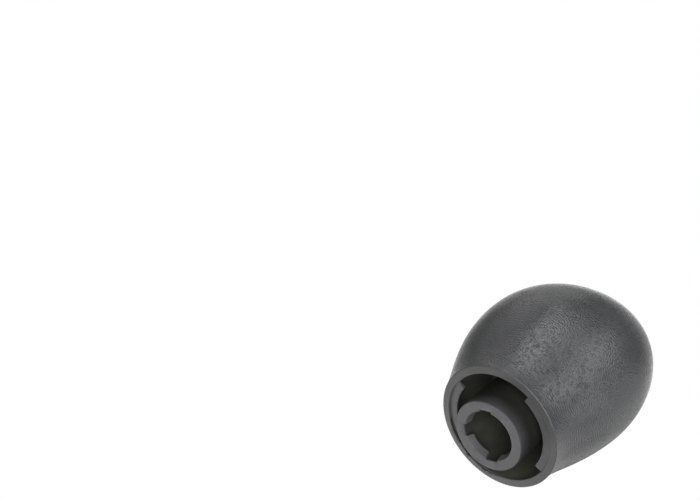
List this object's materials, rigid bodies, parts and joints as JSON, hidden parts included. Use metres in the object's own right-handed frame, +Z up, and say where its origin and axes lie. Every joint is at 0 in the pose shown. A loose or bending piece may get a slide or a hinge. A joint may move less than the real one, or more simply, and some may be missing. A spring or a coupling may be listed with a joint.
{
  "type": "gear knob",
  "caption": "Egg-shaped moulded gear knob with a round open end, two bayonet lips and a keyed hub that takes the end of a gear lever.",
  "frame": {"origin": "on the lever socket's axis, in the plane of the hub's end face that the knob stands on", "axes": "+Z up along the socket's axis towards the crown, -X towards the side that the belly leans to, XZ the plane in which the grip leans"},
  "size_m": [0.054, 0.0538, 0.0664],
  "materials": {
    "dark_plastic": "fine leather grain on the grip, smooth satin at the open end"
  },
  "bodies": {
    "root": {"knob": "dark_plastic"}
  },
  "joints": []
}
